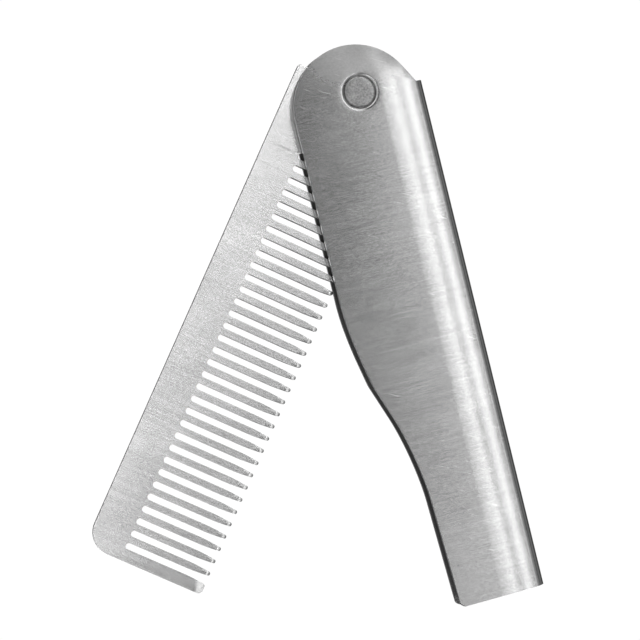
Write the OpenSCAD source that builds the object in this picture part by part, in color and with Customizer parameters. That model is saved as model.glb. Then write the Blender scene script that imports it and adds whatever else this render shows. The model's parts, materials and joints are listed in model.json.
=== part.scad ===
// Folding pocket beard comb.
// A toothed steel plate turns on a flush rivet between the two leaves of a folded steel sheath.
// Millimetres. The origin is on the pivot axis, in the plane of the sheath's rear face.
// +X points to the folded spine, +Y to the round end and +Z to the front face.
// The comb is shown part open, swung out of the sheath's open edge towards -X.

/* [Comb plate] */
// Thickness of the comb plate
comb_t = 1.2; // [1:0.1:1.6]
// Distance from the pivot axis to the tips of the tines
tip_reach = 9.5; // [8:0.1:11.5]
// Distance from the pivot axis to the round roots of the slots
root_reach = 4.8; // [3:0.1:6]
// Radius of the corner between the comb's back and its free end
free_corner_r = 3.8; // [1:0.1:5]
// Radius of the small corner between the comb's back and its shoulder
shoulder_r = 0.55; // [0.1:0.05:0.8]
// How far the shoulder stands past the pivot axis, towards the round end
shoulder_rise = 0.25; // [0:0.05:1]
// Radius of the corner between the comb's heel and its tip side
heel_corner_r = 4; // [3.5:0.1:5]

/* [Tines] */
// Number of slots between the tines
slot_count = 33; // [27:40]
// Distance from one slot to the next
slot_pitch = 2.14; // [1.8:0.02:2.6]
// Width of each slot
slot_w = 1.06; // [0.8:0.02:1.2]
// Distance from the pivot axis to the middle of the first slot
first_slot = 13.5; // [12:0.1:18]
// Width of the last tine, at the comb's free end
end_tine_w = 1.95; // [1.2:0.05:4]
// Length over which each tine narrows to its tip
taper_len = 2.6; // [1:0.1:4]
// Width of each tine at its tip
tip_w = 0.6; // [0.4:0.02:0.8]
// Corner radius at the tip of the last tine
end_tip_r = 0.8; // [0.2:0.05:1]

/* [Sheath] */
// Thickness of the sheath's sheet
sheet_t = 0.8; // [0.6:0.05:1]
// How far the open edge of the leaves stands past the back of the closed comb
leaf_overhang = 0.75; // [0.3:0.05:2]
// Room between the tips of the closed comb and the inside of the spine
tip_clearance = 0.5; // [0.3:0.05:1]
// How far the leaves' round end stands past the comb's round heel
heel_cover = 0.3; // [0.1:0.05:1.5]
// How far the sheath's butt end stands past the closed comb's free end
butt_overhang = 0.85; // [0.5:0.05:4]
// Distance from the pivot axis to the top of the round end
round_end_top = 7.85; // [6:0.05:9]
// How far the comb's shoulder reaches over the spine's wall, which stops it when fully open
stop_reach = 0.75; // [0.3:0.05:0.8]
// Room between the comb's shoulder and the spine's square end when fully open
stop_clearance = 0.05; // [0.02:0.01:0.2]
// Width of the spine's square end, where the round end runs out into it
spine_end_w = 1.2; // [0.9:0.05:1.5]
// Radius of the slight crown that leads from each leaf into the spine
crown_r = 55; // [30:1:80]
// Angle through which the crown turns, in degrees
crown_turn = 6.5; // [3:0.5:8]
// Corner radius of the leaves at the butt end
butt_corner_r = 0.8; // [0.2:0.1:2]

/* [Waist of the sheath's open edge] */
// Distance below the pivot where the open edge starts to draw in
draw_in_y = 35; // [30:0.5:37]
// Distance below the pivot of the bend half way along the upper stretch
upper_bend_y = 40.5; // [38:0.5:43]
// Distance below the pivot of the small kink above the waist
kink_y = 46.8; // [45:0.1:50]
// Distance below the pivot of the waist's hollow
hollow_y = 60; // [57:0.5:62]
// How far the edge has drawn in at the bend
upper_bend_in = 0.72; // [0.4:0.02:1]
// How far the edge has drawn in at the kink
kink_in = 1.98; // [1.6:0.02:2.4]
// How far the edge has drawn in at the hollow
hollow_in = 6.66; // [5:0.02:7]
// How far the edge has drawn in at the butt end
butt_in = 7.6; // [7:0.05:9]
// Radius of the curve where the edge starts to draw in
draw_in_r = 40; // [20:1:50]
// Radius of the curve at the bend
upper_bend_r = 60; // [30:1:80]
// Radius of the curve at the kink
kink_r = 3; // [1:0.5:10]
// Radius of the curve at the hollow
hollow_r = 49; // [20:1:60]

/* [Rivet and washers] */
// Depth of the pressed seat that each rivet head sits in
seat_depth = 0.5; // [0.3:0.05:0.7]
// Radius of the seat at the face of the leaf
seat_rim_r = 3.05; // [2.9:0.05:4]
// Room round each rivet head at the floor of its seat
head_room = 0.1; // [0.05:0.05:0.4]
// Chamfer on the rim of each rivet head
head_chamfer = 0.12; // [0.05:0.01:0.2]
// Radius of the rivet's hollow shank
shank_r = 1.5; // [1.2:0.05:1.8]
// Radius of the pin that is pressed into the shank
pin_r = 0.85; // [0.6:0.05:0.95]
// Thickness of each washer
washer_t = 0.18; // [0.1:0.01:0.3]
// How far each washer's rim stays inside the flat face that it lies on
washer_inset = 0.08; // [0.05:0.01:0.4]
// Radial running clearance of the comb on the shank
running_clearance = 0.05; // [0.01:0.01:0.1]
// Axial play between each washer and the comb
axial_play = 0.02; // [0.01:0.01:0.05]
// Interference of the pin in the shank, on the radius
press_interference = 0.01; // [0.005:0.001:0.015]

/* [Pose] */
// Angle from the closed position at which the comb is shown, in degrees
open_angle = 38; // [0:1:180]

/* [Hidden] */
$fn = 96;

// Steps in each quarter turn of a rounded corner
corner_steps = 24;
// Steps in a full circle of the crown's large radius
crown_steps = 720;
// Steps in a full circle of the comb's heel
heel_steps = 180;
// Overlap that keeps cutting tools clear of the faces that they cut through
cut_past = 1;
// Solid floor left at the bottom of the shank's blind hole
blind_floor = 0.4;
// Space left between the pin's end and that floor
pin_end_gap = 0.2;

// Stack of layers, from the rear face to the front face
leaf_gap = comb_t + 2 * (axial_play + washer_t + seat_depth);
sheath_t = leaf_gap + 2 * sheet_t;
seat_floor_rear = seat_depth;
seat_floor_front = sheath_t - seat_depth;
boss_face_rear = sheet_t + seat_depth;
boss_face_front = sheath_t - boss_face_rear;
comb_z = boss_face_rear + washer_t + axial_play;

// Comb outline, with its length along -Y as when it is closed
comb_end = first_slot + (slot_count - 1) * slot_pitch + slot_w / 2 + end_tine_w;
tip_slot_w = slot_pitch - tip_w;

// Sheath outline
spine_in = tip_reach + tip_clearance;
spine_out = spine_in + sheet_t;
comb_back = spine_in + stop_reach;
open_edge = comb_back + leaf_overhang;
butt_y = comb_end + butt_overhang;
spine_top = -shoulder_rise - stop_clearance;

// The spine's fold is a round bend that meets the crown of each leaf at a tangent
crown_drop = crown_r * (1 - cos(crown_turn));
fold_r = (sheath_t / 2 - crown_drop) / cos(crown_turn);
fold_x = spine_out - fold_r;
crown_start = fold_x + (fold_r - crown_r) * sin(crown_turn);
crown_end = fold_x + fold_r * sin(crown_turn);

// The round end spans each leaf from its open edge to the fold, and covers the comb's heel
round_end_r = (open_edge + crown_end) / 2;
round_end_x = crown_end - round_end_r;
round_end_y = round_end_top - round_end_r;
heel_r = round_end_r - norm([round_end_x, round_end_y]) - heel_cover;

// A straight edge leaves the round end almost at a tangent and meets the spine's square end.
// Its inner end is sunk a little into the round end, so that the two outlines cross cleanly.
run_out_sink = 0.05;
run_out = [spine_out - spine_end_w, spine_top];
run_out_reach = run_out - [round_end_x, round_end_y];
tangent_angle = atan2(run_out_reach[1], run_out_reach[0]) + acos(round_end_r / norm(run_out_reach));
sunk_r = round_end_r - run_out_sink;
run_out_start = [round_end_x, round_end_y] + sunk_r * [cos(tangent_angle), sin(tangent_angle)];

// The seats' walls slope at 45 degrees, so that the pressed sheet keeps its thickness
seat_floor_r = seat_rim_r - seat_depth;
boss_base_r = seat_rim_r + sheet_t * (sqrt(2) - 1);
boss_face_r = boss_base_r - seat_depth;
head_r = seat_floor_r - head_room;
washer_r = boss_face_r - washer_inset;

function unit(v) = v / norm(v);
function turn_angle(a, b) = acos(a * b);
function side_of_turn(a, b) = sign(a[0] * b[1] - a[1] * b[0]);

// Points of the arc that rounds the corner p between the points before and after it
function corner_arc(before, p, after, r) =
    let (
        way_in = unit(p - before),
        way_out = unit(after - p),
        turn = turn_angle(way_in, way_out),
        side = side_of_turn(way_in, way_out),
        start = p - way_in * r * tan(turn / 2),
        centre = start + side * r * [-way_in[1], way_in[0]],
        steps = max(2, ceil(corner_steps * turn / 90))
    )
    [for (i = [0:steps])
        let (a = side * turn * i / steps, s = start - centre)
        centre + [s[0] * cos(a) - s[1] * sin(a), s[0] * sin(a) + s[1] * cos(a)]];

// A closed outline whose corners are rounded: each corner is [x, y, radius]
function rounded_outline(corners) =
    let (n = len(corners), flat = [for (c = corners) [c[0], c[1]]])
    [for (i = [0:n - 1])
        each corners[i][2] == 0
            ? [flat[i]]
            : corner_arc(flat[(i + n - 1) % n], flat[i], flat[(i + 1) % n], corners[i][2])];

module leaf_outline() {
    union() {
        translate([round_end_x, round_end_y])
            circle(r = round_end_r);
        polygon(rounded_outline([
            [-open_edge, round_end_y, 0],
            [-open_edge, -draw_in_y, draw_in_r],
            [upper_bend_in - open_edge, -upper_bend_y, upper_bend_r],
            [kink_in - open_edge, -kink_y, kink_r],
            [hollow_in - open_edge, -hollow_y, hollow_r],
            [butt_in - open_edge, -butt_y, butt_corner_r],
            [spine_out, -butt_y, 0],
            [spine_out, spine_top, 0],
            [run_out[0], run_out[1], 0],
            [run_out_start[0], run_out_start[1], 0],
            [round_end_x, round_end_y, 0]
        ]));
    }
}

// Cross-section of the folded sheet: x runs across the sheath and y through its thickness.
// inset is 0 for the outer skin and the sheet's thickness for the inner one.
module fold_section(inset) {
    top = sheath_t - inset;
    far_left = open_edge + cut_past;
    translate([-far_left, inset])
        square([far_left + crown_start, top - inset]);
    intersection() {
        translate([crown_start, sheath_t - crown_r])
            circle(r = crown_r - inset, $fn = crown_steps);
        translate([crown_start, crown_r])
            circle(r = crown_r - inset, $fn = crown_steps);
        translate([crown_start - sheet_t, inset])
            square([crown_end - crown_start + sheet_t - inset * sin(crown_turn), top - inset]);
    }
    translate([fold_x, sheath_t / 2])
        circle(r = fold_r - inset);
}

module seat_boss() {
    translate([0, 0, sheet_t])
        cylinder(r1 = boss_base_r, r2 = boss_face_r, h = seat_depth);
}

module seat_cup() {
    translate([0, 0, -cut_past])
        cylinder(r1 = seat_rim_r + cut_past, r2 = seat_floor_r, h = seat_depth + cut_past);
}

module from_the_front() {
    translate([0, 0, sheath_t])
        mirror([0, 0, 1])
            children();
}

module sheath() {
    color("silver")
    difference() {
        union() {
            intersection() {
                translate([0, round_end_top + cut_past, 0])
                    rotate([90, 0, 0])
                        linear_extrude(height = round_end_top + butt_y + 2 * cut_past)
                            difference() {
                                fold_section(0);
                                fold_section(sheet_t);
                            }
                translate([0, 0, -cut_past])
                    linear_extrude(height = sheath_t + 2 * cut_past)
                        leaf_outline();
            }
            seat_boss();
            from_the_front() seat_boss();
        }
        seat_cup();
        from_the_front() seat_cup();
        translate([0, 0, -cut_past])
            cylinder(r = shank_r + running_clearance, h = sheath_t + 2 * cut_past);
    }
}

// One slot, with its length along +X: a round root, straight sides and a flare at the tips
module slot_outline() {
    half = slot_w / 2;
    flare = tip_slot_w / 2;
    slope = (flare - half) / taper_len;
    past = flare + slope * cut_past;
    taper_start = tip_reach - taper_len;
    root_x = half - root_reach;
    translate([root_x, 0])
        circle(r = half);
    polygon([
        [root_x, -half],
        [taper_start, -half],
        [tip_reach + cut_past, -past],
        [tip_reach + cut_past, past],
        [taper_start, half],
        [root_x, half]
    ]);
}

module comb_plate() {
    color("gainsboro")
    rotate([0, 0, -open_angle])
        translate([0, 0, comb_z])
            linear_extrude(height = comb_t)
                difference() {
                    union() {
                        circle(r = heel_r, $fn = heel_steps);
                        polygon(rounded_outline([
                            [-comb_back, shoulder_rise, shoulder_r],
                            [-comb_back, -comb_end, free_corner_r],
                            [tip_reach, -comb_end, end_tip_r],
                            [tip_reach, 0, heel_corner_r],
                            [0, 0, 0],
                            [0, shoulder_rise, 0]
                        ]));
                    }
                    circle(r = shank_r + running_clearance);
                    for (i = [0:slot_count - 1])
                        translate([0, -(first_slot + i * slot_pitch)])
                            slot_outline();
                }
}

// A rivet head with its face at z = 0 and its underside at the seat's floor
module rivet_head() {
    cylinder(r1 = head_r - head_chamfer, r2 = head_r, h = head_chamfer);
    translate([0, 0, head_chamfer])
        cylinder(r = head_r, h = seat_depth - head_chamfer);
}

module rivet_socket() {
    color("lightgray")
    difference() {
        union() {
            rivet_head();
            translate([0, 0, seat_floor_rear])
                cylinder(r = shank_r, h = seat_floor_front - seat_floor_rear);
        }
        translate([0, 0, seat_floor_rear + blind_floor])
            cylinder(r = pin_r, h = sheath_t);
    }
}

module rivet_pin() {
    pin_end = seat_floor_rear + blind_floor + pin_end_gap;
    color("lightgray")
    union() {
        from_the_front() rivet_head();
        translate([0, 0, pin_end])
            cylinder(r = pin_r + press_interference, h = seat_floor_front - pin_end);
    }
}

module washer() {
    difference() {
        cylinder(r = washer_r, h = washer_t);
        translate([0, 0, -cut_past])
            cylinder(r = shank_r + running_clearance, h = washer_t + 2 * cut_past);
    }
}

module washer_front() {
    color("darkgray")
    translate([0, 0, boss_face_front - washer_t])
        washer();
}

module washer_rear() {
    color("darkgray")
    translate([0, 0, boss_face_rear])
        washer();
}

sheath();
comb_plate();
rivet_socket();
rivet_pin();
washer_front();
washer_rear();
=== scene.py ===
import json
import math

import bmesh
import bpy
from mathutils import Matrix, Vector


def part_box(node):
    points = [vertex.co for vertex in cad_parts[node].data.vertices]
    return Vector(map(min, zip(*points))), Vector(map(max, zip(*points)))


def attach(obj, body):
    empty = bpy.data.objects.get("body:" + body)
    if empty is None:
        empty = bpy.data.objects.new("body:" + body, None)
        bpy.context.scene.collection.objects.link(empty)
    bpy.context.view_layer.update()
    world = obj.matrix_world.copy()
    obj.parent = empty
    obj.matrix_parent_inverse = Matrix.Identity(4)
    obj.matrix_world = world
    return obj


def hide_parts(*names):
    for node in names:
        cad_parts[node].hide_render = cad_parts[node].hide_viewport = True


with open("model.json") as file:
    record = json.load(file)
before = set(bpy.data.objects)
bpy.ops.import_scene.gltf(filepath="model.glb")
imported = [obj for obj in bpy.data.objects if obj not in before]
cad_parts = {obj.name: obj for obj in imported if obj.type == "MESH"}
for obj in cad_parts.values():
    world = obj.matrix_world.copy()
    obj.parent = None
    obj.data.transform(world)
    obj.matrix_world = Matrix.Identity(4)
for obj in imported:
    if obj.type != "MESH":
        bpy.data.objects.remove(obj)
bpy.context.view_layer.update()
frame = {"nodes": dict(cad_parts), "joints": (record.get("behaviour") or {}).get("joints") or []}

MM = 0.001


# ---------------------------------------------------------------- sizes, from the frame

def closed_box(node, angle):
    """Lowest and highest corner of a CAD node once it is turned back by angle about the pivot."""
    turned = [Matrix.Rotation(angle, 3, "Z") @ v.co for v in frame["nodes"][node].data.vertices]
    low = Vector(min(p[i] for p in turned) for i in range(3))
    high = Vector(max(p[i] for p in turned) for i in range(3))
    return low, high


PIVOT = frame["joints"][0]
OPEN_ANGLE = -math.radians(PIVOT["range_deg"][0])
SHEATH_LOW, SHEATH_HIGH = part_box("sheath")
COMB_LOW, COMB_HIGH = closed_box("comb_plate", OPEN_ANGLE)
HEAD_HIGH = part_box("rivet_socket")[1]

# Sheath: one sheet folded round the spine
SHEET = 0.8 * MM
THICK = SHEATH_HIGH.z
OPEN_EDGE = SHEATH_LOW.x
SPINE = SHEATH_HIGH.x
BUTT = SHEATH_LOW.y
ROUND_TOP = SHEATH_HIGH.y
SPINE_TOP = -0.3 * MM
SPINE_END_W = 1.2 * MM
CROWN_R = 55 * MM
CROWN_TURN = math.radians(6.5)
CROWN_DROP = CROWN_R * (1 - math.cos(CROWN_TURN))
FOLD_R = (THICK / 2 - CROWN_DROP) / math.cos(CROWN_TURN)
FOLD_X = SPINE - FOLD_R
CROWN_START = FOLD_X + (FOLD_R - CROWN_R) * math.sin(CROWN_TURN)
CROWN_END = FOLD_X + FOLD_R * math.sin(CROWN_TURN)
ROUND_R = (CROWN_END - OPEN_EDGE) / 2
ROUND_X = CROWN_END - ROUND_R
ROUND_Y = ROUND_TOP - ROUND_R
# The waist in the open edge, from the butt upwards. Each corner has its distance from the open edge, its
# place along the sheath, and how far its rounding reaches
WAIST = [
    (7.6 * MM, BUTT, 0.8 * MM),
    (6.66 * MM, -60 * MM, 7.5 * MM),
    (1.98 * MM, -46.8 * MM, 0.6 * MM),
    (0.72 * MM, -40.5 * MM, 2.1 * MM),
    (0, -35 * MM, 2.4 * MM),
]
# How finely the crown and half the fold are divided
CROWN_CUTS = 50
FOLD_STEPS = 28

# Rivet and the seats pressed into the leaves for its heads
SEAT_DEPTH = 0.5 * MM
SEAT_RIM_R = 3.05 * MM
SEAT_MARGIN = 0.9 * MM
SEAT_FLAT_R = SEAT_RIM_R + 0.15 * MM
ROLL_START_R = SEAT_RIM_R + 0.07 * MM
ROLL_R = 0.5 * MM
ROLL_STEPS = 6
HEAD_R = HEAD_HIGH.x
HEAD_RIM = 0.22 * MM
SHANK_R = 1.5 * MM
SHANK_GAP = 0.05 * MM
PIN_R = 0.86 * MM
PIN_END = 1.1 * MM
BORE_END = 0.9 * MM

# Comb plate, with its length along -Y as when it is closed
COMB_BACK = COMB_LOW.x
TIP = COMB_HIGH.x
COMB_END = COMB_LOW.y
SHOULDER = 0.25 * MM
COMB_T = COMB_HIGH.z - COMB_LOW.z
COMB_MID = (COMB_HIGH.z + COMB_LOW.z) / 2
ROOT = -4.8 * MM
SLOTS = 33
PITCH = 2.14 * MM
SLOT_W = 1.06 * MM
FIRST_SLOT = -13.5 * MM
LAST_SLOT = FIRST_SLOT - (SLOTS - 1) * PITCH
TAPER = 2.6 * MM
TIP_W = 0.6 * MM
FLARE = (PITCH - TIP_W) / 2
# The toothless stretch stays this far inside the leaves' round end
HEEL_INSET = 0.3 * MM
HEEL_CORNER_R = 4 * MM
# The tips are ground thinner: the wide outermost tine over a longer stretch than the others
SHORT_GRIND, LONG_GRIND = 0.7 * MM, 1.7 * MM
GRIND_DEPTH = 0.3
GRIND_CURVE = 1.6
GRIND_CUTS = 12
# How far the roundings reach along their sides: at the slots' roots, where the tines narrow, and at the tips
ROOT_REACH = SLOT_W / 2 * 0.98
TAPER_REACH = 1.1 * MM
NOSE_REACH = TIP_W / 2 * 0.93
# The same at the shoulder, at the back's free corner and at the outermost tine's
SHOULDER_REACH = 0.55 * MM
BACK_REACH = 3.8 * MM
END_TINE_REACH = 0.8 * MM

# How wide the sharp edges are broken, on the sheet pieces and on the rivet
SHEET_EDGE = 0.1 * MM
RIVET_EDGE = 0.04 * MM


# ---------------------------------------------------------------- mesh helpers

def new_object(name, data):
    """An object at the origin, in the scene."""
    made = bpy.data.objects.new(name, data)
    bpy.context.scene.collection.objects.link(made)
    return made


def new_piece(name, bm, body, material, *nodes):
    """Makes a mesh object of bm, rides it on its body and hides the CAD nodes that it stands for."""
    mesh = bpy.data.meshes.new(name)
    bm.to_mesh(mesh)
    bm.free()
    for polygon in mesh.polygons:
        polygon.use_smooth = True
    piece = new_object(name, mesh)
    piece.data.materials.append(material)
    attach(piece, body)
    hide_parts(*nodes)
    return piece


def break_edges(piece, width, segments, angle=35):
    """Rounds the sharp edges. The big flat faces then set the shading, so that only the bevels look round."""
    bevel = piece.modifiers.new("broken_edges", "BEVEL")
    bevel.width = width
    bevel.segments = segments
    bevel.limit_method = "ANGLE"
    bevel.angle_limit = math.radians(angle)
    bevel.miter_outer = "MITER_ARC"
    weighted = piece.modifiers.new("flat_faces_stay_flat", "WEIGHTED_NORMAL")
    weighted.weight = 100
    weighted.keep_sharp = False


def outline(bm, corners):
    """One flat face through the corners. A corner is (x, y) or (x, y, how far its rounding reaches)."""
    others = set(bm.faces)
    verts = [bm.verts.new((c[0], c[1], 0)) for c in corners]
    bm.faces.new(verts)
    rounded = {}
    for vert, corner in zip(verts, corners):
        if len(corner) > 2:
            rounded.setdefault(corner[2], []).append(vert)
    for reach, chosen in rounded.items():
        bmesh.ops.bevel(bm, geom=chosen, offset=reach, affect="VERTICES", segments=10, profile=0.5,
                        material=-1, clamp_overlap=False)
    return next(f for f in bm.faces if f not in others)


def cut_across(bm, axis, places):
    """Cuts the mesh with planes square to the axis."""
    normal = Vector((axis == "X", axis == "Y", axis == "Z"))
    for place in places:
        bmesh.ops.bisect_plane(bm, geom=bm.verts[:] + bm.edges[:] + bm.faces[:], dist=1e-7,
                               plane_co=normal * place, plane_no=normal)


def fill_round_hole(bm, face, radius, steps=96):
    """Fills a flat face again with triangles, but for a round hole about the pivot."""
    rim = list(face.edges)
    bmesh.ops.delete(bm, geom=[face], context="FACES_ONLY")
    made = bmesh.ops.create_circle(bm, segments=steps, radius=radius)
    hole = list({e for v in made["verts"] for e in v.link_edges})
    bmesh.ops.triangle_fill(bm, use_beauty=True, edges=rim + hole)


def draw_loop(bm, edges, radius, height):
    """Extrudes a round loop about the pivot to a new radius and height."""
    made = bmesh.ops.extrude_edge_only(bm, edges=edges)["geom"]
    verts = [g for g in made if isinstance(g, bmesh.types.BMVert)]
    for v in verts:
        v.co.xy = v.co.xy.normalized() * radius
        v.co.z = height
    return [g for g in made if isinstance(g, bmesh.types.BMEdge)]


def turned_solid(bm, profile, steps=96):
    """Spins a profile of (radius, height) points about the pivot axis into a closed solid."""
    verts = [bm.verts.new((r, 0, z)) for r, z in profile]
    edges = [bm.edges.new(pair) for pair in zip(verts, verts[1:])]
    bmesh.ops.spin(bm, geom=verts + edges, axis=(0, 0, 1), cent=(0, 0, 0), angle=math.tau, steps=steps,
                   use_merge=True)
    bmesh.ops.remove_doubles(bm, verts=bm.verts[:], dist=1e-7)
    bmesh.ops.recalc_face_normals(bm, faces=bm.faces[:])


def arc(centre, radius, start, end, steps):
    """Points (x, y) along an arc, angles in degrees."""
    angles = [math.radians(start + (end - start) * i / steps) for i in range(steps + 1)]
    return [(centre[0] + radius * math.cos(a), centre[1] + radius * math.sin(a)) for a in angles]


# ---------------------------------------------------------------- sheath

def run_out(x):
    """The straight edge from the round end, at a tangent, to the spine's square end: the angle at which it
    leaves the round, and its height at x."""
    foot = Vector((SPINE - SPINE_END_W, SPINE_TOP))
    reach = foot - Vector((ROUND_X, ROUND_Y))
    touch = math.atan2(reach.y, reach.x) + math.acos(ROUND_R / reach.length)
    return touch, foot.y + (foot.x - x) / math.tan(touch)


def sheath(material):
    """Front leaf and half of the spine's fold, mirrored into the rear leaf, then given a thickness."""
    bm = bmesh.new()
    touch = run_out(0)[0]
    corners = arc((ROUND_X, ROUND_Y), ROUND_R, 180, math.degrees(touch), 80)
    corners += [
        (CROWN_END, run_out(CROWN_END)[1]),
        (CROWN_END, BUTT),
        *[(OPEN_EDGE + inset, y, reach) for inset, y, reach in WAIST],
    ]
    fill_round_hole(bm, outline(bm, corners), SEAT_RIM_R + SEAT_MARGIN)
    crown = CROWN_END - CROWN_START
    cut_across(bm, "X", [CROWN_START + crown * i / CROWN_CUTS for i in range(CROWN_CUTS)])
    # The seat for the rivet's head: a rolled rim, a steep wall and a floor with the shank's hole
    near = SEAT_RIM_R + SEAT_MARGIN + 0.1 * MM
    seat = [e for e in bm.edges if e.is_boundary and all(v.co.length < near for v in e.verts)]
    seat = draw_loop(bm, seat, SEAT_FLAT_R, 0)
    floor_r = SEAT_RIM_R - SEAT_DEPTH
    for i in range(1, ROLL_STEPS + 1):
        a = math.radians(45 * i / ROLL_STEPS)
        seat = draw_loop(bm, seat, ROLL_START_R - ROLL_R * math.sin(a), -ROLL_R * (1 - math.cos(a)))
    # The wall's foot is slightly rounded: how far out from the floor's edge, and how far up, in mm
    for out, up in [(0.05, 0.05), (0, 0.015), (-0.08, 0)]:
        seat = draw_loop(bm, seat, floor_r + out * MM, -SEAT_DEPTH + up * MM)
    draw_loop(bm, seat, SHANK_R + SHANK_GAP, -SEAT_DEPTH)
    # The slight crown, from the flat of the leaf to the fold
    for v in bm.verts:
        past = max(0, v.co.x - CROWN_START)
        v.co.z += math.sqrt(CROWN_R ** 2 - past ** 2) - CROWN_R
    bmesh.ops.translate(bm, verts=bm.verts[:], vec=(0, 0, THICK))
    crease = [e for e in bm.edges if all(abs(v.co.x - CROWN_END) < 1e-7 for v in e.verts)]
    ends = list({v for e in crease for v in e.verts})
    bmesh.ops.spin(bm, geom=crease + ends, cent=(FOLD_X, 0, THICK / 2), axis=(0, 1, 0),
                   angle=math.pi / 2 - CROWN_TURN, steps=FOLD_STEPS)
    bmesh.ops.remove_doubles(bm, verts=bm.verts[:], dist=2e-6)
    for v in bm.verts:
        if v.co.x > CROWN_END and v.co.y > SPINE_TOP:
            v.co.y = max(run_out(v.co.x)[1], SPINE_TOP)
    mirror_at = Matrix.Translation((0, 0, -THICK / 2))
    bmesh.ops.mirror(bm, geom=bm.verts[:] + bm.edges[:] + bm.faces[:], matrix=mirror_at, merge_dist=1e-6,
                     axis="Z")
    bmesh.ops.recalc_face_normals(bm, faces=bm.faces[:])
    # The shell is still open, so the front leaf's big face tells which side came out as the outside
    top = max(bm.faces, key=lambda f: f.calc_center_median().z * 1e3 + f.calc_area())
    if top.normal.z < 0:
        bmesh.ops.reverse_faces(bm, faces=bm.faces[:])
    piece = new_piece("sheath_folded_sheet", bm, "sheath_body", material, "sheath")
    wall = piece.modifiers.new("sheet_thickness", "SOLIDIFY")
    wall.thickness = SHEET
    wall.offset = -1
    wall.use_even_offset = False
    break_edges(piece, SHEET_EDGE, 3)


# ---------------------------------------------------------------- comb plate

def tine_sides(middle):
    """Corners of one tine, from the root on its far side round the tip and back to the root."""
    side = (PITCH - SLOT_W) / 2
    nose = TIP_W / 2
    far_side = [(ROOT, -side, ROOT_REACH), (TIP - TAPER, -side, TAPER_REACH), (TIP, -nose, NOSE_REACH)]
    near_side = [(x, -y, reach) for x, y, reach in reversed(far_side)]
    return [(x, y + middle, reach) for x, y, reach in far_side + near_side]


def tine(bm, middle):
    """The strip of comb between the middles of two slots: a piece of the back and one tine."""
    low, high = middle - PITCH / 2, middle + PITCH / 2
    outline(bm, [(COMB_BACK, low), (ROOT, low), *tine_sides(middle), (ROOT, high), (COMB_BACK, high)])


def comb_heel(bm):
    """The toothless stretch round the pivot, with its shoulder, down to the middle of the first slot."""
    heel_r = ROUND_R - math.hypot(ROUND_X, ROUND_Y) - HEEL_INSET
    shoulder_at = 180 - math.degrees(math.asin(SHOULDER / heel_r))
    # A rounded corner joins the heel's round to the first tine, from the place where the two circles cross
    corner = Vector((TIP - HEEL_CORNER_R, -HEEL_CORNER_R))
    away = corner.length
    bearing = math.degrees(math.atan2(corner.y, corner.x))
    on_heel = math.acos((heel_r ** 2 + away ** 2 - HEEL_CORNER_R ** 2) / (2 * heel_r * away))
    on_corner = math.acos((HEEL_CORNER_R ** 2 + away ** 2 - heel_r ** 2) / (2 * HEEL_CORNER_R * away))
    corners = arc((0, 0), heel_r, bearing + math.degrees(on_heel), shoulder_at, 60)
    corners += [
        (COMB_BACK, SHOULDER, SHOULDER_REACH),
        (COMB_BACK, FIRST_SLOT),
        (ROOT, FIRST_SLOT),
        (ROOT, FIRST_SLOT + SLOT_W / 2, ROOT_REACH),
        (TIP - TAPER, FIRST_SLOT + SLOT_W / 2, TAPER_REACH),
        (TIP, FIRST_SLOT + FLARE, NOSE_REACH),
    ]
    corners += arc(corner, HEEL_CORNER_R, 0, 180 + bearing - math.degrees(on_corner), 16)[:-1]
    face = outline(bm, corners)
    fill_round_hole(bm, face, SHANK_R + SHANK_GAP, 64)


def comb_free_end(bm):
    """The last two tines and the rounded corner of the back. The outermost tine is the wide one."""
    top = LAST_SLOT + PITCH
    outline(bm, [
        (COMB_BACK, top),
        (COMB_BACK, COMB_END, BACK_REACH),
        (TIP, COMB_END, END_TINE_REACH),
        (TIP, LAST_SLOT - FLARE, NOSE_REACH),
        (TIP - TAPER, LAST_SLOT - SLOT_W / 2, TAPER_REACH),
        (ROOT, LAST_SLOT - SLOT_W / 2, ROOT_REACH),
        *tine_sides(LAST_SLOT + PITCH / 2),
        (ROOT, top),
    ])


def comb_plate(material):
    """The plate is laid out closed, as strips that merge into one face, then thickened and swung open."""
    bm = bmesh.new()
    comb_heel(bm)
    for i in range(SLOTS - 2):
        tine(bm, FIRST_SLOT - (i + 0.5) * PITCH)
    comb_free_end(bm)
    bmesh.ops.remove_doubles(bm, verts=bm.verts[:], dist=1e-6)
    cut_across(bm, "X", [TIP - LONG_GRIND * i / GRIND_CUTS for i in range(1, GRIND_CUTS + 1)])
    bmesh.ops.recalc_face_normals(bm, faces=bm.faces[:])
    up = bmesh.ops.extrude_face_region(bm, geom=bm.faces[:], use_keep_orig=True)["geom"]
    raised = [g for g in up if isinstance(g, bmesh.types.BMVert)]
    bmesh.ops.translate(bm, verts=raised, vec=(0, 0, COMB_T))
    bmesh.ops.translate(bm, verts=bm.verts[:], vec=(0, 0, -COMB_T / 2))
    for v in bm.verts:
        ground = LONG_GRIND if v.co.y < LAST_SLOT else SHORT_GRIND
        along = max(0, (v.co.x - TIP + ground) / ground)
        v.co.z *= 1 - GRIND_DEPTH * along ** GRIND_CURVE
    bmesh.ops.translate(bm, verts=bm.verts[:], vec=(0, 0, COMB_MID))
    swung_open = Matrix.Rotation(-OPEN_ANGLE, 3, "Z")
    bmesh.ops.rotate(bm, verts=bm.verts[:], cent=(0, 0, 0), matrix=swung_open)
    bmesh.ops.recalc_face_normals(bm, faces=bm.faces[:])
    piece = new_piece("comb_toothed_plate", bm, "comb_body", material, "comb_plate")
    break_edges(piece, SHEET_EDGE, 3)


# ---------------------------------------------------------------- rivet

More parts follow.
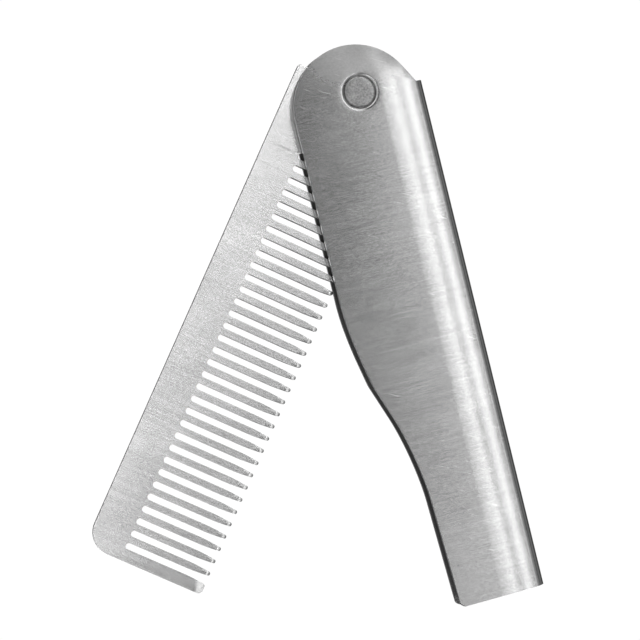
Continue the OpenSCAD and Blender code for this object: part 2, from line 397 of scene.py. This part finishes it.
def head_profile(face, inward):
    """A flush head: a flat face, slightly dished in the middle by the press, with a small rounded rim."""
    dish = [(0, 0.012), (0.5, 0.01), (1.1, 0.003), (1.5, 0)]
    points = [(radius * MM, face + inward * depth * MM) for radius, depth in dish]
    points.append((HEAD_R - HEAD_RIM, face))
    for i in range(1, 9):
        a = math.radians(90 * i / 8)
        sunk = face + inward * HEAD_RIM * (1 - math.cos(a))
        points.append((HEAD_R - HEAD_RIM + HEAD_RIM * math.sin(a), sunk))
    return points + [(HEAD_R, face + inward * SEAT_DEPTH)]


def rivet_half(name, profile, material, node):
    """Turns one half of the rivet from its profile."""
    bm = bmesh.new()
    turned_solid(bm, profile)
    piece = new_piece(name, bm, "sheath_body", material, node)
    break_edges(piece, RIVET_EDGE, 2, 60)


def rivet(material):
    """The front half's pin is pressed into the rear half's hollow shank."""
    pin = head_profile(THICK, -1)
    pin += [(PIN_R, THICK - SEAT_DEPTH), (PIN_R, PIN_END), (0, PIN_END)]
    rivet_half("rivet_pin_half", pin, material, "rivet_pin")
    socket = head_profile(0, 1)
    socket += [
        (SHANK_R, SEAT_DEPTH),
        (SHANK_R, THICK - SEAT_DEPTH),
        (PIN_R, THICK - SEAT_DEPTH),
        (PIN_R, BORE_END),
        (0, BORE_END),
    ]
    rivet_half("rivet_socket_half", socket, material, "rivet_socket")


# ---------------------------------------------------------------- materials

def linear(hex_colour):
    """An sRGB hex colour as linear RGBA."""
    srgb = [int(hex_colour[i:i + 2], 16) / 255 for i in (1, 3, 5)]
    return [c / 12.92 if c <= 0.04045 else ((c + 0.055) / 1.055) ** 2.4 for c in srgb] + [1]


def add(tree, kind, inputs=None, **settings):
    """Adds a node with its settings. inputs gives each socket a value, or a socket to link from."""
    node = tree.nodes.new(kind)
    for key, value in settings.items():
        setattr(node, key, value)
    for key, value in (inputs or {}).items():
        if isinstance(value, bpy.types.NodeSocket):
            tree.links.new(value, node.inputs[key])
        else:
            node.inputs[key].default_value = value
    return node


def new_material(name):
    """A material with an empty node tree, and that tree."""
    material = bpy.data.materials.new(name)
    material.use_nodes = True
    material.node_tree.nodes.clear()
    return material, material.node_tree


def grain(tree, at, wide, long, detail=2):
    """A random pattern whose grains are `wide` mm across in Y and `long` mm in X."""
    size = (1 / (long * MM), 1 / (wide * MM), 1 / (long * MM))
    sized = add(tree, "ShaderNodeMapping", {"Vector": at, "Scale": size}).outputs[0]
    return add(tree, "ShaderNodeTexNoise", {"Vector": sized, "Scale": 1, "Detail": detail}).outputs[0]


def round_end(tree, at):
    """How far a point lies in the round end, its place along and across the curve, and the way outwards."""
    middle = (ROUND_X, ROUND_Y, 0)
    from_middle = add(tree, "ShaderNodeVectorMath", {0: at, 1: middle}, operation="SUBTRACT")
    part = add(tree, "ShaderNodeSeparateXYZ", {0: from_middle.outputs[0]})
    height = add(tree, "ShaderNodeMapRange", {
        "Value": part.outputs[1], "From Min": 2 * MM, "From Max": 9 * MM}, interpolation_type="SMOOTHSTEP")
    side = add(tree, "ShaderNodeMapRange", {
        "Value": part.outputs[0], "From Min": -9 * MM, "From Max": 3 * MM}, interpolation_type="SMOOTHSTEP")
    inside = add(tree, "ShaderNodeMath", {0: height.outputs[0], 1: side.outputs[0]}, operation="MULTIPLY")
    turn = add(tree, "ShaderNodeMath", {0: part.outputs[1], 1: part.outputs[0]}, operation="ARCTAN2")
    along = add(tree, "ShaderNodeMath", {0: turn.outputs[0], 1: ROUND_R}, operation="MULTIPLY")
    level = add(tree, "ShaderNodeCombineXYZ", {0: part.outputs[0], 1: part.outputs[1]})
    reach = add(tree, "ShaderNodeVectorMath", {0: level.outputs[0]}, operation="LENGTH").outputs["Value"]
    curved = add(tree, "ShaderNodeCombineXYZ", {0: along.outputs[0], 1: reach, 2: part.outputs[2]})
    outwards = add(tree, "ShaderNodeVectorMath", {0: level.outputs[0]}, operation="NORMALIZE")
    return inside.outputs[0], curved.outputs[0], outwards.outputs[0]


def between_leaves(tree, at):
    """1 on the inside faces of the two leaves, 0 on their outside and in the fold."""
    place = add(tree, "ShaderNodeSeparateXYZ", {0: at})
    off_middle = add(tree, "ShaderNodeMath", {0: place.outputs[2], 1: THICK / 2}, operation="SUBTRACT")
    depth = add(tree, "ShaderNodeMath", {0: off_middle.outputs[0]}, operation="ABSOLUTE").outputs[0]
    inner = add(tree, "ShaderNodeMapRange", {
        "Value": depth, "From Min": THICK / 2 - 0.88 * SHEET, "From Max": THICK / 2 - 0.97 * SHEET})
    leaves = add(tree, "ShaderNodeMapRange", {
        "Value": place.outputs[0], "From Min": CROWN_END, "From Max": CROWN_END - 0.3 * MM})
    return add(tree, "ShaderNodeMath", {0: inner.outputs[0], 1: leaves.outputs[0]},
               operation="MULTIPLY").outputs[0]


def brushed_stainless(name, across, dark, light, roughness, turn=0, fanned=False, marked=0.0, cut_and_shade=None):
    """Stainless steel brushed on a belt: fine lines that smear reflections along `across`, square to the
    lines, and keep them sharp the other way. `fanned` lines follow the sheath's round end, and `marked` is
    how much the pivot's surroundings are speckled with tiny dents from use. `cut_and_shade` is the colour
    painted on the
    upright faces: partly their rough finish as the cutter left it, partly painted shade, so they look like
    dark outlines."""
    material, tree = new_material(name)
    at = add(tree, "ShaderNodeTexCoord").outputs["Object"]
    turned = add(tree, "ShaderNodeMapping", {"Vector": at, "Rotation": (0, 0, turn)}).outputs[0]
    # Belt lines are about 0.05 mm wide on real sheet, and are drawn 0.13 mm wide so that they show
    fine = grain(tree, turned, wide=0.13, long=7)
    blur = across
    softer = 0
    if fanned:
        inside, curved, outwards = round_end(tree, at)
        bent = grain(tree, curved, wide=0.13, long=4)
        fine = add(tree, "ShaderNodeMix", {"Factor": inside, "A": fine, "B": bent}).outputs[0]
        blur = add(tree, "ShaderNodeMix", {"Factor": inside, "A": across, "B": outwards},
                   data_type="VECTOR").outputs[1]
        # The round end is more evenly satin
        satin_end = add(tree, "ShaderNodeMath", {0: inside, 1: 0.2}, operation="MULTIPLY").outputs[0]
        # The inside faces are as the sheet came from the mill, so they are rougher. They still smear
        # reflections as brushed faces do, because that is one value for the whole surface
        mill = between_leaves(tree, at)
        softer = add(tree, "ShaderNodeMath", {0: mill, 1: 0.4, 2: satin_end},
                     operation="MULTIPLY_ADD").outputs[0]
    # The belt's grit also leaves a fine speckle, finer than the lines are long
    speckle = grain(tree, turned, wide=0.2, long=0.4)
    lines = add(tree, "ShaderNodeMix", {"Factor": 0.55, "A": fine, "B": speckle}).outputs[0]
    # Tiny dents about the pivot, fading out over 16 mm
    away = add(tree, "ShaderNodeVectorMath", {0: at}, operation="LENGTH").outputs["Value"]
    near = add(tree, "ShaderNodeMapRange", {
        "Value": away, "From Min": 16 * MM, "From Max": 4 * MM, "To Max": marked})
    dents = grain(tree, at, wide=0.32, long=0.36, detail=4)
    grit = add(tree, "ShaderNodeMix", {"Factor": near.outputs[0], "A": lines, "B": dents}).outputs[0]
    # Faint clouds in the finish
    clouds = grain(tree, at, wide=7, long=9)
    tone = add(tree, "ShaderNodeMix", {"Factor": 0.25, "A": grit, "B": clouds}).outputs[0]
    # A few stray hairline scratches that cross the lines at a slant
    slant = (0, 0, math.radians(28))
    slanted = add(tree, "ShaderNodeMapping", {"Vector": turned, "Rotation": slant}).outputs[0]
    hairs = add(tree, "ShaderNodeMapRange", {
        "Value": grain(tree, slanted, wide=0.2, long=3.2), "From Min": 0.7, "From Max": 0.76})
    # Rims, corners and the spine turn off the flat, and there hands and pockets have polished the steel; the
    # lighter colour there is also a painted sheen that brightens the fold
    facing = add(tree, "ShaderNodeSeparateXYZ", {0: add(tree, "ShaderNodeNewGeometry").outputs["Normal"]})
    flatness = add(tree, "ShaderNodeMath", {0: facing.outputs[2]}, operation="ABSOLUTE")
    rubbed_and_sheen = add(tree, "ShaderNodeMapRange", {
        "Value": flatness.outputs[0], "From Min": 0.9, "From Max": 0.5})
    shade = add(tree, "ShaderNodeMapRange", {"Value": tone, "From Min": 0.36, "From Max": 0.64})
    colour = add(tree, "ShaderNodeMix", {
        "Factor": shade.outputs[0], "A": linear(dark), "B": linear(light)}, data_type="RGBA").outputs[2]
    # Laid over the tone: hairline scratches, then the lighter colour of the rims and fold, partly rubbed
    # polish and partly painted sheen
    over = [(hairs, "#d8d8d8"), (rubbed_and_sheen, "#dcdcdc")]
    # Upright faces darken to the given grey: partly the cutter's rough finish, partly painted shade in the
    # slots and along the edges
    if cut_and_shade:
        cut_and_shaded_walls = add(tree, "ShaderNodeMapRange", {
            "Value": flatness.outputs[0], "From Min": 0.4, "From Max": 0.2})
        over.append((cut_and_shaded_walls, cut_and_shade))
    for where, tint in over:
        colour = add(tree, "ShaderNodeMix", {
            "Factor": where.outputs[0], "A": colour, "B": linear(tint)}, data_type="RGBA").outputs[2]
    rough = add(tree, "ShaderNodeMapRange", {
        "Value": tone, "From Min": 0.3, "From Max": 0.7,
        "To Min": roughness - 0.025, "To Max": roughness + 0.025})
    satin = add(tree, "ShaderNodeMath", {0: rough.outputs[0], 1: softer}, operation="ADD")
    bump = add(tree, "ShaderNodeBump", {"Height": grit, "Strength": 0.1, "Distance": 0.001 * MM})
    smear = add(tree, "ShaderNodeVectorTransform", {"Vector": blur}, vector_type="VECTOR",
                convert_from="OBJECT", convert_to="WORLD")
    steel = add(tree, "ShaderNodeBsdfPrincipled", {
        "Base Color": colour, "Metallic": 1, "Roughness": satin.outputs[0], "Anisotropic": 0.98,
        "Tangent": smear.outputs[0], "Normal": bump.outputs[0]})
    add(tree, "ShaderNodeOutputMaterial", {"Surface": steel.outputs[0]})
    return material


def tumbled_stainless(name, dark, light, roughness):
    """Small stainless parts tumbled with stones until they are evenly satin, with a fine random speckle."""
    material, tree = new_material(name)
    at = add(tree, "ShaderNodeTexCoord").outputs["Object"]
    speckle = grain(tree, at, wide=0.3, long=0.3, detail=4)
    patches = grain(tree, at, wide=1.4, long=1.4)
    tone = add(tree, "ShaderNodeMix", {"Factor": 0.3, "A": speckle, "B": patches}).outputs[0]
    shade = add(tree, "ShaderNodeMapRange", {"Value": tone, "From Min": 0.35, "From Max": 0.65})
    colour = add(tree, "ShaderNodeMix", {
        "Factor": shade.outputs[0], "A": linear(dark), "B": linear(light)}, data_type="RGBA")
    rough = add(tree, "ShaderNodeMapRange", {
        "Value": tone, "From Min": 0.3, "From Max": 0.7,
        "To Min": roughness - 0.05, "To Max": roughness + 0.05})
    bump = add(tree, "ShaderNodeBump", {"Height": speckle, "Strength": 0.4, "Distance": 0.01 * MM})
    steel = add(tree, "ShaderNodeBsdfPrincipled", {
        "Base Color": colour.outputs[2], "Metallic": 1, "Roughness": rough.outputs[0],
        "Normal": bump.outputs[0]})
    add(tree, "ShaderNodeOutputMaterial", {"Surface": steel.outputs[0]})
    return material


# The way along which each plate smears reflections. It is a little off square to the faces' edges, so that it
# never lies exactly along a face's normal
ACROSS_SHEATH = Vector((0.02, 1, 0.01))
ACROSS_COMB = Vector((math.sin(OPEN_ANGLE) + 0.01, math.cos(OPEN_ANGLE), 0.01))

# Both plates are stainless sheet brushed across their width: satin, with bright and dark bands along them
sheath_steel = brushed_stainless("brushed_stainless_sheath", ACROSS_SHEATH, "#ababab", "#c4c4c4", 0.24,
                                 fanned=True, marked=0.6)
# The comb's upright faces get a dark grey: partly the cutter's finish, partly painted shade
comb_steel = brushed_stainless("brushed_stainless_comb", ACROSS_COMB, "#c2c2c2", "#dedede", 0.25,
                               turn=OPEN_ANGLE, cut_and_shade="#5c5c5c")
# The rivet is tumbled stainless, greyer and without lines. The washers are shims of plain rolled sheet
rivet_steel = tumbled_stainless("tumbled_stainless_rivet", "#808080", "#b4b4b4", 0.33)
washer_steel = brushed_stainless("rolled_stainless_washer", ACROSS_SHEATH, "#a0a0a0", "#b0b0b0", 0.3)

sheath(sheath_steel)
comb_plate(comb_steel)
rivet(rivet_steel)
for washer in ("washer_front", "washer_rear"):
    node = frame["nodes"][washer]
    node.data.materials.clear()
    node.data.materials.append(washer_steel)


# ---------------------------------------------------------------- floor, light and camera

FLOOR_DROP = 0.02 * MM
FLOOR_HALF = 3
CEILING = 3.0
ALL_ALONG = (-0.9, 0.9)
PART_MIDDLE = (-20 * MM, -35 * MM)
# Soft boxes turned this far (in degrees) lie square to the comb, as the others do to the sheath
COMB_LEAN = -38


def lit_floor():
    """A plain pale floor: a lit opal sheet just under the part. Reflections don't see it, so that the steel's
    edges and the gap between the leaves stay dark against it."""
    material, tree = new_material("lit_opal_sheet")
    lit = add(tree, "ShaderNodeEmission", {"Color": (1, 1, 1, 1), "Strength": 1.02})
    add(tree, "ShaderNodeOutputMaterial", {"Surface": lit.outputs[0]})
    bm = bmesh.new()
    bmesh.ops.create_grid(bm, x_segments=1, y_segments=1, size=FLOOR_HALF)
    mesh = bpy.data.meshes.new("floor")
    bm.to_mesh(mesh)
    bm.free()
    floor = new_object("floor", mesh)
    floor.location.z = -FLOOR_DROP
    floor.data.materials.append(material)
    floor.visible_glossy = False


def softbox(name, across, along, glow, turn=0):
    """A flat soft box in the ceiling, facing straight down. across and along are the spans that it takes in X
    and Y at a height of 1, so they are slopes seen from the part, before it is turned (in degrees) about the
    vertical."""
    turned = Matrix.Rotation(math.radians(turn), 3, "Z")
    centre = turned @ Vector((sum(across) / 2, sum(along) / 2, 0)) * CEILING
    lamp = bpy.data.lights.new(name, "AREA")
    lamp.shape = "RECTANGLE"
    lamp.size = (across[1] - across[0]) * CEILING
    lamp.size_y = (along[1] - along[0]) * CEILING
    lamp.energy = glow * 4 * lamp.size * lamp.size_y
    box = new_object(name, lamp)
    box.location = Vector((*PART_MIDDLE, CEILING)) + centre
    box.rotation_euler.z = math.radians(turn)


def studio():
    """Soft boxes on the spine's side, and two turned square to the comb, in a dim grey room. The room has a
    lit wall beyond the round end, a broad fill on the open edge's side, and is dark below the horizon."""
    world = bpy.data.worlds.new("studio")
    bpy.context.scene.world = world
    world.use_nodes = True
    tree = world.node_tree
    tree.nodes.clear()
    direction = add(tree, "ShaderNodeTexCoord").outputs["Generated"]
    toward = add(tree, "ShaderNodeSeparateXYZ", {0: direction})
    # The room's grey, from the horizon to overhead
    rise = add(tree, "ShaderNodeValToRGB", {"Fac": toward.outputs[2]})
    horizon, overhead = rise.color_ramp.elements
    horizon.position = 0
    horizon.color = (0.24, 0.24, 0.24, 1)
    overhead.position = 0.9
    overhead.color = (0.02, 0.02, 0.02, 1)
    # The lit wall is low down and catches the rims and the seat's far wall. It goes on, dimmer, along the
    # open edge's side, where it draws a thin bright line on the leaves' cut edges
    beyond = add(tree, "ShaderNodeMapRange", {
        "Value": toward.outputs[1], "From Min": 0.5, "From Max": 0.8})
    low = add(tree, "ShaderNodeMapRange", {
        "Value": toward.outputs[2], "From Min": 0.7, "From Max": 0.45, "To Max": 1.5})
    beside = add(tree, "ShaderNodeMapRange", {
        "Value": toward.outputs[0], "From Min": -0.5, "From Max": -0.8, "To Max": 0.35})
    around = add(tree, "ShaderNodeMath", {0: beyond.outputs[0], 1: beside.outputs[0]}, operation="MAXIMUM")
    wall = add(tree, "ShaderNodeMath", {0: around.outputs[0], 1: low.outputs[0]}, operation="MULTIPLY")
    fill = add(tree, "ShaderNodeMapRange", {
        "Value": toward.outputs[0], "From Min": 0.08, "From Max": -0.15, "To Max": 0.45},
        interpolation_type="SMOOTHSTEP")
    glow = add(tree, "ShaderNodeMath", {0: wall.outputs[0], 1: fill.outputs[0]}, operation="ADD")
    both = add(tree, "ShaderNodeVectorMath", {0: rise.outputs[0], 1: glow.outputs[0]}, operation="ADD")
    # Dark below the horizon, so that the upright edges stand out against the flat faces
    below = add(tree, "ShaderNodeMapRange", {
        "Value": toward.outputs[2], "From Min": -0.5, "From Max": -0.1, "To Min": 0.2})
    sky = add(tree, "ShaderNodeBackground", {"Color": both.outputs[0], "Strength": below.outputs[0]})
    add(tree, "ShaderNodeOutputWorld", {"Surface": sky.outputs[0]})
    bpy.context.scene.view_settings.view_transform = "Standard"
    softbox("inner_strip", (0.25, 0.34), ALL_ALONG, 1.1)
    softbox("inner_strip_edge", (0.34, 0.375), ALL_ALONG, 2.5)
    softbox("white_strip_edge", (0.415, 0.45), ALL_ALONG, 1.0)
    softbox("white_strip", (0.45, 0.49), ALL_ALONG, 3.0)
    softbox("outer_panel", (0.55, 0.7), ALL_ALONG, 1.0)
    softbox("side_panel", (0.7, 1.1), ALL_ALONG, 0.55)
    softbox("low_side_panel", (1.1, 2.2), ALL_ALONG, 0.25)
    softbox("front_panel", (0.17, 0.25), (-0.6, -0.3), 2.4)
    softbox("comb_panel", (-0.15, 0.1), (-0.6, -0.2), 4.4, turn=COMB_LEAN)
    softbox("key_panel", (0.1, 0.13), (0.45, 1.6), 10.0, turn=COMB_LEAN)


CAMERA_AT = Vector((-83.33, -25.32, 368.47)) * MM
CAMERA_RIGHT = Vector((0.9537, -0.2379, 0.1838))
CAMERA_UP = Vector((0.2382, 0.971, 0.0204))


def camera():
    """Nearly straight down on the front face, from a little to the left, with the sheath leaning."""
    data = bpy.data.cameras.new("camera")
    data.lens = 129.4
    data.sensor_width = 36
    data.clip_start, data.clip_end = 0.01, 10
    cam = new_object("camera", data)
    back = CAMERA_RIGHT.cross(CAMERA_UP).normalized()
    up = back.cross(CAMERA_RIGHT).normalized()
    aim = Matrix((CAMERA_RIGHT.normalized(), up, back)).transposed().to_4x4()
    cam.matrix_world = Matrix.Translation(CAMERA_AT) @ aim
    bpy.context.scene.camera = cam


lit_floor()
studio()
camera()
